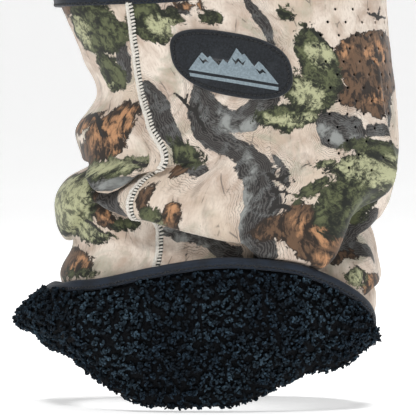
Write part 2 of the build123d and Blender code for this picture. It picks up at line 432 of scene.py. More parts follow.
# ---- meshes ---------------------------------------------------------------------------------
def new_piece(name, slot, material, vertices, faces, uv=None, values=None, replaces=True):
    """A mesh object from millimetre vertices, riding on the frame in place of its CAD node."""
    mesh = bpy.data.meshes.new(name)
    mesh.from_pydata((np.asarray(vertices, float) * MM).tolist(), [], np.asarray(faces).tolist())
    mesh.polygons.foreach_set("use_smooth", np.ones(len(mesh.polygons), bool))
    if uv is not None:
        layer = mesh.uv_layers.new(name="cloth")
        corner = np.zeros(len(mesh.loops), int)
        mesh.loops.foreach_get("vertex_index", corner)
        layer.data.foreach_set("uv", np.asarray(uv, np.float32)[corner].ravel())
    for key, data in (values or {}).items():
        attribute = mesh.attributes.new(key, "FLOAT", "POINT")
        attribute.data.foreach_set("value", np.asarray(data, np.float32).ravel())
    mesh.update()
    mesh.materials.append(material)
    piece = bpy.data.objects.new(name, mesh)
    bpy.context.scene.collection.objects.link(piece)
    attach(piece, "root")
    if replaces:
        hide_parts(name)
    return piece


def thicken(piece, thickness):
    """Gives a sheet a back, on the inner side, and walls round its edges."""
    thick = piece.modifiers.new("thickness", "SOLIDIFY")
    thick.thickness, thick.offset = thickness * MM, -1


def grid_faces(rows, columns, closed=False):
    """Quads of a grid whose vertices run row by row, facing outwards."""
    last = columns if closed else columns - 1
    r, c = np.meshgrid(np.arange(rows - 1), np.arange(last), indexing="ij")
    c2 = (c + 1) % columns
    low, high = r * columns, (r + 1) * columns
    return np.stack([low + c, low + c2, high + c2, high + c], -1).reshape(-1, 4)


def copied(faces, copies, vertices_each):
    """The faces of one small mesh, for many copies of it."""
    return (faces[None] + (np.arange(copies) * vertices_each)[:, None, None]).reshape(-1, 4)


# ---- materials ------------------------------------------------------------------------------
def linear(red, green, blue):
    """A colour given as 0 to 255 in sRGB."""
    channels = [c / 255 for c in (red, green, blue)]
    return (*[c / 12.92 if c <= 0.04045 else ((c + 0.055) / 1.055) ** 2.4 for c in channels], 1.0)


class Nodes:
    """Short names for building a material's node tree."""

    def __init__(self, name):
        self.material = bpy.data.materials.new(name)
        self.material.use_nodes = True
        self.tree = self.material.node_tree
        self.tree.nodes.clear()
        self.shader = self.node("BsdfPrincipled")
        self.node("OutputMaterial", {0: self.shader.outputs[0]})

    def put(self, values, node):
        """Sets or links a node's inputs, by name or number."""
        for key, value in values.items():
            if isinstance(value, bpy.types.NodeSocket):
                self.tree.links.new(value, node.inputs[key])
            else:
                node.inputs[key].default_value = value

    def node(self, kind, inputs=(), **settings):
        node = self.tree.nodes.new("ShaderNode" + kind)
        for key, value in settings.items():
            setattr(node, key, value)
        self.put(dict(inputs), node)
        return node

    def math(self, operation, a, b=0.0, c=0.0):
        return self.node("Math", {0: a, 1: b, 2: c}, operation=operation).outputs[0]

    def times(self, a, b):
        return self.math("MULTIPLY", a, b)

    def times_plus(self, a, b, c):
        return self.math("MULTIPLY_ADD", a, b, c)

    def noise(self, vector, scale, detail=3.0, roughness=0.55, distortion=0.0):
        inputs = {"Vector": vector, "Scale": scale, "Detail": detail}
        inputs |= {"Roughness": roughness, "Distortion": distortion}
        return self.node("TexNoise", inputs).outputs["Fac"]

    def cells(self, vector, scale, feature="F1"):
        inputs = {"Vector": vector, "Scale": scale}
        return self.node("TexVoronoi", inputs, feature=feature).outputs["Distance"]

    def mapped(self, vector, scale, turn):
        """A place stretched by scale and turned round Z."""
        inputs = {"Vector": vector, "Scale": scale, "Rotation": (0, 0, turn)}
        return self.node("Mapping", inputs).outputs[0]

    def mix(self, share, a, b, blend="MIX"):
        inputs = {0: share, 6: a, 7: b}
        return self.node("Mix", inputs, data_type="RGBA", blend_type=blend).outputs[2]

    def tinted(self, colour, share, amount, onto):
        """Colour, taken some way to another."""
        return self.mix(self.times(share, amount), colour, onto)

    def between(self, value, low, high):
        """0 below low, 1 above high, smooth between."""
        inputs = {0: value, 1: low, 2: high}
        return self.node("MapRange", inputs, interpolation_type="SMOOTHSTEP").outputs[0]

    def value(self, name):
        return self.node("Attribute", attribute_name=name).outputs["Fac"]

    def place(self):
        """Position in the object's own space."""
        return self.node("TexCoord").outputs["Object"]

    def cloth(self):
        """Position on the cloth, in metres, as laid out flat."""
        return self.node("UVMap", uv_map="cloth").outputs[0]

    def bump(self, height, distance, strength):
        inputs = {"Height": height, "Distance": distance, "Strength": strength}
        self.put({"Normal": self.node("Bump", inputs).outputs[0]}, self.shader)

    def finish(self, colour, roughness, sheen, specular):
        inputs = {"Base Color": colour, "Roughness": roughness}
        inputs |= {"Sheen Weight": sheen, "Specular IOR Level": specular}
        self.put(inputs, self.shader)
        return self.material


CREAM, PINK_TAN, SAND = linear(225, 213, 200), linear(184, 164, 148), linear(203, 186, 166)
GREY_GREEN, SMOKE = linear(150, 154, 134), linear(134, 124, 114)
MOSS_BLACK, MOSS_DARK, MOSS = linear(28, 31, 25), linear(54, 58, 41), linear(92, 97, 68)
MOSS_PALE = linear(178, 179, 142)
BARK_DARK, BARK, BARK_PALE = linear(40, 38, 37), linear(78, 75, 73), linear(122, 125, 124)
LICHEN = linear(150, 153, 150)
RUST_DARK, RUST, RUST_PALE = linear(44, 36, 30), linear(104, 80, 61), linear(184, 137, 99)
TWIG = linear(40, 38, 36)


def camo_material():
    """Printed bark, moss and dead leaves on cream, on a matt knit."""
    n = Nodes("camo_print")
    cloth = n.cloth()
    fibre = n.noise(n.mapped(cloth, (1, 0.35, 1), 0.5), 900, 3, 0.6)
    mottled = n.noise(cloth, 60, 5, 0.62, 0.4)
    broad = n.noise(cloth, 17, 3, 0.5, 0.3)
    speckle = n.noise(cloth, 520, 2, 0.7)
    ragged = n.noise(cloth, 210, 7, 0.66, 0.8)

    def torn(name, rag):
        """A printed patch's depth, with a torn outline."""
        return n.times_plus(n.math("SUBTRACT", ragged, 0.5), rag, n.value(name))

    def patch(name, rag, edge, level=0.0):
        """1 inside a printed patch."""
        return n.between(torn(name, rag), level - edge, level + edge)

    medium = n.noise(cloth, 130, 4, 0.62, 0.6)
    ground = n.mix(n.between(mottled, 0.36, 0.66), CREAM, PINK_TAN)
    ground = n.mix(n.between(broad, 0.45, 0.72), ground, SAND)
    green_tint = n.between(n.noise(cloth, 33, 4, 0.6, 1.2), 0.52, 0.70)
    ground = n.tinted(ground, green_tint, 0.6, GREY_GREEN)
    smoke = n.between(n.noise(n.mapped(cloth, (1, 0.5, 1), 0.3), 48, 5, 0.68, 1.5), 0.53, 0.72)
    ground = n.tinted(ground, smoke, 0.6, SMOKE)

    # wood grain runs along the strokes of bark: its lines are the stroke's own contours
    bark = n.value("bark")
    wander = n.times_plus(n.noise(cloth, 95, 4, 0.6), 7.0, bark)
    grain = n.math("SINE", n.times(wander, 5.2))
    fine_grain = n.math("SINE", n.times(wander, 13.0))
    lines = n.between(n.times_plus(fine_grain, 0.5, grain), 0.35, 1.2)
    near = n.times(n.between(bark, -12.0, -1.0), n.between(broad, 0.34, 0.50))
    ground = n.tinted(ground, n.times(lines, near), 0.8, BARK)
    ground = n.tinted(ground, n.between(fibre, 0.46, 0.72), 0.55, PINK_TAN)
    cracks = n.between(n.cells(n.mapped(cloth, (1, 0.6, 1), 0.9), 85, "DISTANCE_TO_EDGE"), 0.035, 0.0)
    cracks = n.times(cracks, n.between(mottled, 0.52, 0.62))
    ground = n.tinted(ground, cracks, 0.75, BARK)

    bark_tone = n.mix(n.between(grain, -0.6, 0.9), BARK_DARK, BARK)
    lichen = n.times(n.between(medium, 0.46, 0.64), n.between(fine_grain, -0.9, 0.7))
    bark_tone = n.tinted(bark_tone, lichen, 0.7, BARK_PALE)
    streaked = n.times(patch("lichen", 12.0, 2.5), n.between(medium, 0.34, 0.60))
    bark_tone = n.tinted(bark_tone, streaked, 0.85, LICHEN)
    colour = n.mix(patch("bark", 6.0, 0.35), ground, bark_tone)

    streak = n.noise(n.mapped(cloth, (1.0, 0.34, 1), 0.75), 330, 6, 0.7, 0.9)
    blotch = n.times_plus(n.math("SUBTRACT", medium, 0.5), 1.3, streak)
    rust_tone = n.mix(n.between(blotch, 0.36, 0.58), RUST_DARK, RUST)
    bright = n.between(n.times_plus(blotch, 12.0, n.value("rust_glow")), 4.5, 9.5)
    rust_tone = n.mix(n.times(bright, n.between(blotch, 0.40, 0.72)), rust_tone, RUST_PALE)
    rust_edge = n.mix(patch("rust", 11.0, 0.4), colour, RUST_DARK)
    colour = n.mix(patch("rust", 11.0, 0.8, 1.0), rust_edge, rust_tone)

    leaf = n.noise(cloth, 300, 6, 0.75, 1.2)
    leafy = n.times_plus(n.math("SUBTRACT", medium, 0.5), 1.1, leaf)
    moss_tone = n.mix(n.between(leafy, 0.34, 0.50), MOSS_BLACK, MOSS_DARK)
    moss_tone = n.mix(n.between(leafy, 0.46, 0.64), moss_tone, MOSS)
    pale = n.between(n.times_plus(leafy, 12.0, n.value("moss_glow")), 4.5, 9.0)
    pale = n.times(pale, n.times_plus(n.between(leafy, 0.38, 0.60), 0.75, 0.2))
    moss_tone = n.mix(pale, moss_tone, MOSS_PALE)
    moss_rim = n.between(torn("moss", 12.0), 3.5, 0.5)
    moss_tone = n.tinted(moss_tone, moss_rim, 0.55, MOSS_BLACK)
    colour = n.mix(patch("moss", 12.0, 0.5), colour, moss_tone)

    colour = n.mix(patch("twig", 2.2, 0.22), colour, TWIG)
    colour = n.mix(n.times(n.between(speckle, 0.62, 0.8), 0.35), colour, BARK, "MULTIPLY")

    knit = n.times_plus(n.cells(cloth, 1500), 0.5, n.noise(cloth, 700, 2))
    n.bump(knit, 0.00012, 0.5)
    return n.finish(colour, n.times_plus(mottled, 0.2, 0.68), 0.15, 0.3)


def sherpa_material():
    """Near-black navy wool pile with a painted highlight that makes the locks paler towards their
    tips; the highlight's tone is paler in some places than others.
    """
    n = Nodes("sherpa")
    place = n.place()
    fibre = n.noise(place, 1300, 4, 0.7)
    # Painted highlight: the locks' tips are painted paler and bluer, most where the tufts stand up.
    highlight_share = n.times(n.math("POWER", n.value("tip_highlight"), 1.2), n.between(fibre, 0.2, 0.7))
    worn = n.between(n.noise(place, 26, 3, 0.6), 0.42, 0.66)
    # The painted highlight's tone, paler in random places.
    pale = n.mix(worn, linear(50, 72, 90), linear(86, 112, 130))
    n.bump(fibre, 0.0008, 0.9)
    return n.finish(n.mix(highlight_share, linear(4, 6, 10), pale), 0.8, 0.0, 0.15)


def tape_material(name, base, light):
    """Fine ribbed stretch tape."""
    n = Nodes(name)
    place = n.place()
    rib = n.noise(place, 1700, 2, 0.5)
    colour = n.mix(n.between(n.noise(place, 120, 4, 0.6), 0.3, 0.7), base, light)
    colour = n.tinted(colour, n.between(rib, 0.5, 0.7), 0.35, light)
    n.bump(rib, 0.0003, 0.5)
    return n.finish(colour, 0.65, 0.1, 0.3)


def thread_material(name, base, light):
    """Twisted sewing thread."""
    n = Nodes(name)
    ply = n.noise(n.mapped(n.place(), (1, 1, 3), 0.6), 2200, 2, 0.6)
    n.bump(ply, 0.0002, 0.7)
    return n.finish(n.mix(n.between(ply, 0.35, 0.65), base, light), 0.62, 0.2, 0.4)


def suede_material():
    """Soft dark grey nap, paler where it is worn."""
    n = Nodes("patch_suede")
    place = n.place()
    nap = n.noise(place, 900, 4, 0.75)
    worn = n.between(n.noise(place, 90, 3, 0.6), 0.55, 0.75)
    colour = n.mix(n.between(nap, 0.35, 0.7), linear(15, 18, 22), linear(37, 42, 48))
    n.bump(nap, 0.0003, 0.8)
    return n.finish(n.tinted(colour, worn, 0.3, linear(54, 59, 65)), 0.8, 0.3, 0.25)


def ink_material():
    """Thick pale grey ink, a little worn."""
    n = Nodes("emblem_ink")
    wear = n.noise(n.place(), 700, 4, 0.7)
    colour = n.mix(n.between(wear, 0.3, 0.75), linear(108, 122, 130), linear(142, 157, 165))
    n.bump(wear, 0.0001, 0.4)
    return n.finish(n.mix(n.between(wear, 0.68, 0.76), colour, linear(70, 78, 84)), 0.45, 0.0, 0.5)


# ---- the shell ------------------------------------------------------------------------------
SEAM_PATH = [  # x, z of the seam on the patch side, as the cloth would lie without folds
    (-34, 0), (-33, 40), (-31, 80), (-29, 98), (-30, 108), (-35, 114), (-40, 120), (-41, 127),
    (-39, 134), (-34, 139), (-27, 144), (-24, 149), (-28, 160), (-34, 172), (-39, 188),
    (-42, 211), (-46, 243), (-48, 290),
]
FAR_SEAM_X = -38.0
SEAM_DRAG = 45.0  # how far round the tube the cloth follows the seam's wander
VALLEY = 11.0  # the printed side's lowest line under the flap, above the fold

near_seam = sorted((z, s_at(x, z)) for x, z in SEAM_PATH)
NEAR_SEAM_X = -34.0
near_column = round(s_at(NEAR_SEAM_X, 200.0) / GIRTH * COLUMNS)
far_column = round(s_at(FAR_SEAM_X, 180.0, far=True) / GIRTH * COLUMNS)
FRONT_COLUMNS = np.arange(far_column - COLUMNS, near_column + 1)
BACK_COLUMNS = np.arange(near_column, far_column + 1)


def dragged(s, z):
    """Where on the tube a column of cloth runs, given that it follows the seam beside it."""
    home = COLUMN_S[near_column]
    off_seam = eased(near_seam, z) - home
    return s + off_seam * np.exp(-(((s - home) / SEAM_DRAG) ** 2))


def row_height(z, s):
    """The height of a row of cloth: level in the middle, and fitted to both edges."""
    low, high = EVEN_ROWS
    bottom = fold_height(s) + 2.0 + (VALLEY - 2.0) * turned_share(s)
    top = face_edge(s) - 1.0
    under = bottom + z * (low - bottom) / low
    over = high + (z - high) * (top - high) / (TOP_OF_CLOTH - high)
    return np.where(z < low, under, np.where(z > high, over, z))


ROW_Z = np.arange(0, TOP_OF_CLOTH + 0.01, ROW_STEP)
wall_s, wall_z = np.meshgrid(COLUMN_S, ROW_Z)
wall_z = row_height(wall_z, wall_s)
wall_s = dragged(wall_s, wall_z)
wall = wall_point(wall_s, wall_z)

# ---- the camouflage's patches: x, z, half width and half height as seen, turn ---------------
MOSS_PATCHES = [
    (-62, 225, 18, 16, 0), (-55, 199, 8, 12, -15), (-33, 228, 12, 14, 10), (-21, 231, 9, 6, 20),
    (64, 201, 12, 24, 5), (55, 188, 14, 9, -30), (46, 175, 19, 9, 8), (95, 155, 17, 6, 0),
    (92, 145, 25, 10, 5), (78, 127, 17, 13, 40), (60, 130, 12, 5, 30), (-52, 149, 17, 6, 8),
    (-80, 120, 11, 20, 10), (-74, 107, 15, 7, -10), (-50, 110, 9, 4, 0), (-13, 153, 12, 7, -30),
    (-29, 120, 9, 7, -20), (-75, 79, 10, 3, 5), (88, 78, 5, 5, 0), (-76, 137, 11, 4, 15),
    # On the next line, the dark moss at (95, 120) lies in the pocket where the cowl's lip overhangs
    # the chin roll: dark print there, made larger as painted shade of the pocket.
    (47, 233, 5, 5, 0), (95, 120, 7, 10, 0), (20, 60, 18, 10, 0), (-60, 50, 20, 12, 10),
    (-80, 196, 5, 8, 0), (68, 145, 9, 3, 0), (2, 234, 7, 4, 30),
]
MOSS_PALE_SPOTS = [
    (-26, 225, 10, 7, 0), (66, 208, 7, 8, 0), (57, 188, 10, 7, -30), (-52, 151, 14, 3, 8),
    (-82, 122, 9, 15, 10), (-72, 106, 12, 5, 0), (92, 144, 22, 7, 0), (-22, 117, 6, 4, 0),
    (-66, 78, 6, 3, 0), (88, 78, 4, 5, 0), (84, 108, 5, 5, 0), (-75, 224, 4, 9, 0),
    (50, 173, 14, 3, 8), (-60, 192, 4, 4, 0),
]
RUST_PATCHES = [
    (-56, 166, 15, 12, 25), (-69, 171, 7, 5, 10), (-66, 154, 7, 9, 0), (-76, 238, 14, 5, 0),
    (-12, 239, 11, 3, 0), (93, 203, 22, 21, 0), (90, 182, 19, 9, -10), (60, 107, 22, 13, -22),
    (44, 112, 13, 7, 20), (-79, 85, 10, 9, 0), (-64, 115, 9, 6, -40), (-31, 131, 4, 6, 0),
    (-18, 119, 6, 8, 0), (-15, 142, 6, 4, 0), (-29, 112, 6, 3, 0), (94, 76, 6, 6, 20),
    (82, 90, 9, 3, 10), (-68, 127, 4, 4, 0), (38, 40, 20, 9, 10), (-20, 30, 20, 9, -10),
    (-70, 150, 5, 7, 0),
]
RUST_BRIGHT_SPOTS = [
    (-54, 166, 13, 10, 25), (-69, 171, 6, 4, 0), (-12, 239, 10, 2.5, 0), (97, 184, 6, 5, 0),
    (99, 210, 6, 6, 0), (60, 112, 10, 4, -10), (68, 96, 9, 4, -20), (-76, 84, 5, 5, 0),
    (-62, 115, 8, 3, -40), (-30, 112, 6, 3, 0), (-15, 124, 4, 4, 0), (94, 76, 6, 5, 0),
    (76, 214, 6, 5, 0),
]
BARK_STROKES = [  # points x, z and half widths
    [(-36, 188, 4), (-31, 177, 6), (-24, 163, 6), (-15, 153, 4), (-6, 147, 2)],
    [(-50, 222, 3), (-48, 210, 5), (-47, 198, 5), (-45, 193, 2)],
    [(-22, 236, 3), (-13, 236, 3)],
    [(-8, 143, 3), (-4, 140, 3)],
    [(24, 242, 2), (29, 231, 4), (36, 221, 3), (40, 214, 1.5)],
    [(-6, 188, 5), (2, 177, 7), (12, 169, 8), (24, 171, 9), (31, 178, 8), (38, 186, 4)],
    [
        (-6, 182, 6), (-4, 169, 7), (4, 160, 7), (15, 153, 7), (25, 146, 8), (30, 137, 8),
        (31, 118, 9), (35, 100, 9), (34, 84, 7),
    ],
    [(38, 150, 1), (43, 142, 2), (45, 132, 1.5)],
    [(66, 173, 5), (74, 164, 10), (84, 163, 8), (87, 155, 4)],
    [(93, 165, 3), (100, 167, 3), (105, 162, 2)],
    [(-66, 130, 7), (-57, 126, 8), (-50, 122, 6)],
    [(-64, 142, 3), (-52, 142, 5), (-40, 144, 3)],
    [(-27, 104, 3), (-10, 101, 5), (6, 96, 5), (18, 91, 4)],
    [(80, 97, 4), (90, 95, 6), (98, 91, 3)],
    # This stroke lies in that pocket: dark print, deepened as painted shade of the pocket.
    [(92, 124, 5), (100, 122, 5)],
    [(104, 190, 5), (107, 181, 5), (108, 170, 3)],
    # Painted shade: dark bark laid in the pocket under the cowl's lip, along with the print's dark
    # streaks there.
    [(98, 112, 6), (92, 105, 6), (88, 98, 4)],
    [(-88, 232, 3), (-84, 214, 3)],
    [(20, 40, 6), (50, 52, 7), (70, 48, 4)],
]
LICHEN_STROKES = [  # pale grey streaks on the bark
    [(19, 152, 1.5), (24, 138, 2.5), (24, 118, 2.5), (28, 100, 2.5), (30, 88, 2)],
    [(6, 175, 2), (14, 165, 5), (26, 168, 5), (30, 174, 2)],
    [(66, 168, 3), (76, 160, 4), (84, 160, 2)],
    [(-28, 106, 2), (-14, 98, 3), (0, 94, 2)],
    [(104, 184, 3), (108, 176, 2)],
    [(-62, 140, 1), (-44, 143, 3)],
]
TWIG_STROKES = [
    [(-20, 187, 0.7), (-14, 181, 0.9), (-9, 176, 0.8)], [(-14, 181, 0.8), (-12, 188, 0.5)],
    [(-9, 176, 0.9), (-4, 171, 1.1), (-1, 166, 0.7)], [(-6, 184, 0.6), (-9, 176, 0.8)],
    [(35, 141, 0.7), (41, 137, 0.9), (46, 139, 0.6), (49, 133, 0.5)],
    [(37, 138, 0.6), (38, 128, 0.9), (37, 118, 0.7)],
    [(43, 137, 0.6), (43, 126, 0.7), (42, 116, 0.6)],
    [(36, 130, 0.8), (46, 127, 0.8)], [(37, 121, 0.8), (47, 119, 0.6)],
    [(94, 234, 0.6), (99, 230, 0.9), (106, 229, 0.7)], [(99, 230, 0.7), (102, 235, 0.4)],
    [(-76, 112, 0.7), (-69, 109, 0.9), (-62, 104, 0.7)],
    [(-66, 176, 1.0), (-61, 171, 1.3), (-60, 165, 0.8)],
    [(-36, 150, 0.9), (-43, 153, 0.6)], [(88, 84, 0.6), (92, 80, 0.9), (91, 76, 0.7)],
    [(-12, 92, 0.5), (-14, 87, 0.6)],
]


def scattered(count, seed, sizes=(7, 18)):
    """Patches in no order over the far side, as (s, z, half width, half height, turn)."""
    r = np.random.default_rng(seed)
    (low, high), (least, most) = (NAPE_S + 8, GIRTH - 8), sizes
    return [
        (
            low + (high - low) * ((i + r.random() * 0.8) * 0.618 % 1),
            60 + 175 * r.random(),
            least + (most - least) * r.random(),
            (least + (most - least) * r.random()) * 0.7,
            180 * r.random(),
        )
        for i in range(count)
    ]


def on_cloth(patches):
    """Patches as seen from the patch side, as (s, z, half width, half height, turn)."""
    placed = []
    for x, z, wide, tall, turn in patches:
        start, end = s_at(x + wide, z), s_at(x - wide, z)
        placed.append(((start + end) / 2, z, max((end - start) / 2, 3.0), tall, turn))
    return placed


FAR_FROM_PRINT = -40.0  # as deep outside a patch as it matters, in mm


def patches_depth(patches, s, z):
    """How deep inside the nearest oval patch a place is, in mm; negative outside."""
    depth = np.full(s.shape, FAR_FROM_PRINT)
    for at_s, at_z, wide, tall, turn in patches:
        ds, dz = -turned_round(s - at_s), z - at_z
        c, k = math.cos(math.radians(turn)), math.sin(math.radians(turn))
        a, b = (ds * c + dz * k) / wide, (dz * c - ds * k) / tall
        depth = np.maximum(depth, (1 - np.hypot(a, b)) * min(wide, tall))
    return depth


def strokes_depth(strokes, s, z):
    """How deep inside the nearest stroke a place is, in mm; negative outside."""
    depth = np.full(s.shape, FAR_FROM_PRINT)
    for stroke in strokes:
        for (s0, z0, r0), (s1, z1, r1) in zip(stroke, stroke[1:]):
            ds, dz = turned_round(s - s0), z - z0
            es, ez = turned_round(s1 - s0), z1 - z0
            t = np.clip((ds * es + dz * ez) / (es * es + ez * ez), 0, 1)
            depth = np.maximum(depth, r0 + (r1 - r0) * t - np.hypot(ds - t * es, dz - t * ez))
    return depth


def far_strokes(count, seed, width):
    """Wandering strokes over the far side."""
    r = np.random.default_rng(seed)
    strokes = []
    for at_s, at_z, *_ in scattered(count, seed):
        stroke, angle = [], r.uniform(-2.4, -0.8)
        for _ in range(5):
            stroke.append((at_s, at_z, width * r.uniform(0.5, 1.2)))
            at_s, at_z = at_s + 13 * math.cos(angle), at_z + 13 * math.sin(angle)
            angle += r.uniform(-0.5, 0.5)
        strokes.append(stroke)
    return strokes


# For each value that the material reads: the listed shapes, then the far side's count, seed
# and sizes or width.
PATCHES = {
    "moss": (MOSS_PATCHES, 24, 21, (11, 27)),
    "moss_glow": (MOSS_PALE_SPOTS, 14, 21, (7, 18)),
    "rust": (RUST_PATCHES, 14, 22, (10, 24)),
    "rust_glow": (RUST_BRIGHT_SPOTS, 8, 22, (6, 14)),
}
STROKES = {
    "bark": (BARK_STROKES, 16, 23, 9.0),
    "lichen": (LICHEN_STROKES, 16, 23, 2.5),
    "twig": (TWIG_STROKES, 10, 24, 0.9),
}


def camo_values(s, z, place):
    """The printed patches over the cloth, as depths that the material reads."""
    far = step_up(NAPE_S, NAPE_S + 30, s) * (1 - step_up(GIRTH - 30, GIRTH, s))
    bend_s = (3.0 + 6.0 * far) * rough_noise(place, 26) + 1.2 * noise(place, 6)
    bend_z = (3.0 + 6.0 * far) * rough_noise(place + 50, 26) + 1.2 * noise(place + 50, 6)
    s, z = s + bend_s, z + bend_z
    values = {}
    for key, (placed, *far_side) in PATCHES.items():
        values[key] = patches_depth(on_cloth(placed) + scattered(*far_side), s, z)
    for key, (placed, *far_side) in STROKES.items():
        placed = [[(s_at(x, h), h, half) for x, h, half in stroke] for stroke in placed]
        values[key] = strokes_depth(placed + far_strokes(*far_side), s, z)
    return values


# ---- punched breathing holes, on the cloth's own grid ---------------------------------------
HOLE_RADIUS = 0.95
HOLE_COLUMNS_APART, HOLE_ROWS_APART, HOLE_ROWS = 10, 7, 13
HOLE_TOP_ROW = round(236.6 / ROW_STEP)
HOLE_REACH, HOLE_REACH_AT_ENDS = 65, 55  # in columns, either way from the middle of the face
TURNED_FROM = 0.35  # the turned-up share at which a panel's flap begins


def hole_centres():
    """(row, column) of every hole; the rows are staggered by half."""
    found = []
    for k in range(HOLE_ROWS):
        reach = HOLE_REACH_AT_ENDS if k in (0, HOLE_ROWS - 1) else HOLE_REACH
        stagger = HOLE_COLUMNS_APART // 2 if k % 2 == 0 else 0
        first = stagger - HOLE_REACH - HOLE_COLUMNS_APART // 2
        for column in range(first, HOLE_REACH + 1, HOLE_COLUMNS_APART):
            if abs(column) <= reach:
                found.append((HOLE_TOP_ROW - k * HOLE_ROWS_APART, column))
    return found


def punch(points, row, column):
    """Rounds the ring of eight vertices about a hole's centre."""
    columns = [(column + d) % COLUMNS for d in (-1, 0, 1)]
    centre = points[row, columns[1]].copy()
    across = unit(points[row, columns[2]] - points[row, columns[0]])
    up = points[row + 1, columns[1]] - points[row - 1, columns[1]]
    up = unit(up - across * (up @ across))
    for dr in (-1, 0, 1):
        for dc in (-1, 0, 1):
            if dr or dc:
                angle = math.atan2(dr, dc)
                ring = across * math.cos(angle) + up * math.sin(angle)
                points[row + dr, columns[dc + 1]] = centre + ring * HOLE_RADIUS


def flap_back(columns):
    """The printed side of the turned-up cloth, across the valley and up to the hem."""
    s = COLUMN_S[columns % COLUMNS]
    fold, hem, turn = fold_height(s), hem_height(s), turn_height(s)
    rows = []
    first_out = np.maximum(flap_out(s, 0.0) - PILE - 3.0, 0.9)
    for t in np.linspace(0, 1, 10)[:-1]:
        rows.append(tube_point(s, fold + VALLEY + 1 - 4 * math.sin(math.pi * t), first_out * t))
    for share in np.linspace(0, 1, 36):
        z = fold + turn + (hem - fold - turn - 2) * share
        back = flap_out(s, share) - PILE - 3.0 * (1 - share) ** 3
        out = np.maximum(back, 0.9 + 0.8 * share)
        rows.append(tube_point(s, np.maximum(z, fold + VALLEY + 1), out))
    return np.array(rows), s


def wall_part(columns, punched):
    """A panel's wall: points, faces, s and z on the cloth, and the print's values."""
    picked = columns % COLUMNS
    rows, count = len(ROW_Z), len(columns)
    faces = grid_faces(rows, count)[:, ::-1]
    if punched:
        centre = np.zeros((rows, count), bool)
        for row, column in hole_centres():
            centre[row, column - columns[0]] = True
        faces = faces[~centre.ravel()[faces].any(axis=1)]
    s = wall_s[:, picked] + (columns - picked) * GIRTH / COLUMNS
    values = {key: data[:, picked] for key, data in CAMO.items()}
    return wall[:, picked], faces, s, wall_z[:, picked], values


def flap_part(columns):
    """The same five things for the part of a panel that is turned up."""
    turned = np.flatnonzero(turned_share(COLUMN_S[columns % COLUMNS]) > TURNED_FROM)
    points, s = flap_back(columns[turned[0] : turned[-1] + 1])
    s, z = np.broadcast_arrays(s, -points[..., 2])
    return points, grid_faces(*s.shape), s, z, camo_values(s, 60 + z, points)


def shell_panel(name, columns, slot, punched=False):
    """One printed panel: the wall, and the turned-up part where there is one."""
    parts = [wall_part(columns, punched), flap_part(columns)]
    points = [part[0].reshape(-1, 3) for part in parts]
    faces = np.concatenate([parts[0][1], parts[1][1] + len(points[0])])
    uv = [np.stack([s, z], -1).reshape(-1, 2) * MM for _, _, s, z, _ in parts]
    used, faces = np.unique(faces, return_inverse=True)
    vertices, uv = np.concatenate(points)[used], np.concatenate(uv)[used]
    values = {key: np.concatenate([part[4][key].ravel() for part in parts])[used] for key in CAMO}
    piece = new_piece(name, slot, camo, vertices, faces.reshape(-1, 4), uv, values)
    thicken(piece, SHELL_THICKNESS)
    return piece


for row, column in hole_centres():
    punch(wall, row, column)
CAMO = camo_values(wall_s, wall_z, tube_point(wall_s, wall_z))
camo = camo_material()
front_shell = shell_panel("shell_front_panel", FRONT_COLUMNS, "camo_front", punched=True)
back_shell = shell_panel("shell_back_panel", BACK_COLUMNS, "camo_back")

# ---- the sherpa -----------------------------------------------------------------------------
CLUMP = 4.6
GATHER, TUFT_LIFT = 0.6, 1.8  # locks lean together in tufts, which stand up in the middle
PILE_BACKING = 2.6  # the clumped surface lies this far inside the pile's outer face
LOCKS_PER_MM2 = np.array([0.30, 0.24, 0.05, 0.16])  # in each zone of the lining
LOCK_POINTS, LOCK_SIDES = 8, 5
LOCK_TAPER = np.array([0.9, 1.0, 1.05, 1.05, 1.0, 0.95, 0.8, 0.4])
MAX_LOCKS = 5000
TAPE_TO_LOCKS = 4.9  # the locks start this far below the hem's top

lining, lining_zone = lining_grid()
lining_normal = grid_normals(lining)


def clumps(points):
    """Pile gathered in rounded clumps: 0 between them, 1 on top."""
    r = np.abs(noise(points, CLUMP * 1.3)) * 0.6 + np.abs(noise(points + 31, CLUMP * 0.8)) * 0.4
    return np.clip(r * 2.4, 0, 1)


pile_height = 0.8 * clumps(lining) + 0.4 * noise(lining, 1.9)
pile_base = lining + lining_normal * (pile_height - PILE_BACKING)[..., None]


def lining_panel(name, columns, slot):
    points = pile_base[:, columns % COLUMNS]
    faces = grid_faces(*points.shape[:2])
    return new_piece(name, slot, sherpa, points.reshape(-1, 3), faces)


def lock_paths(roots, normals, length, r):
    """A curling line up the middle of each lock, and the lock's half thickness."""
    n = len(roots)
    helper = np.where(np.abs(normals[:, 2:]) > 0.9, [[1.0, 0, 0]], [[0, 0, 1.0]])
    side = unit(np.cross(normals, helper))
    other = np.cross(normals, side)
    start, turns = r.uniform(0, 2 * math.pi, n), r.uniform(1.4, 3.6, n) * r.choice([-1, 1], n)
    tall, curl = r.uniform(1.1, 2.5, n) * length, r.uniform(0.5, 1.1, n)
    lean_angle, lean = r.uniform(0, 2 * math.pi, n), r.uniform(0.6, 2.6, n)
    thick = r.uniform(0.5, 0.86, n)
    path = []
    for t in np.linspace(0, 1, LOCK_POINTS):
        angle = start + turns * t
        rise = tall * math.sin(1.7 * t) - 0.6
        away = curl * math.sin(2.2 * t + 0.3)
        a = away * np.cos(angle) + lean * t * np.cos(lean_angle)
        b = away * np.sin(angle) + lean * t * np.sin(lean_angle)
        path.append(roots + normals * rise[:, None] + side * a[:, None] + other * b[:, None])
    return np.array(path).transpose(1, 0, 2), thick


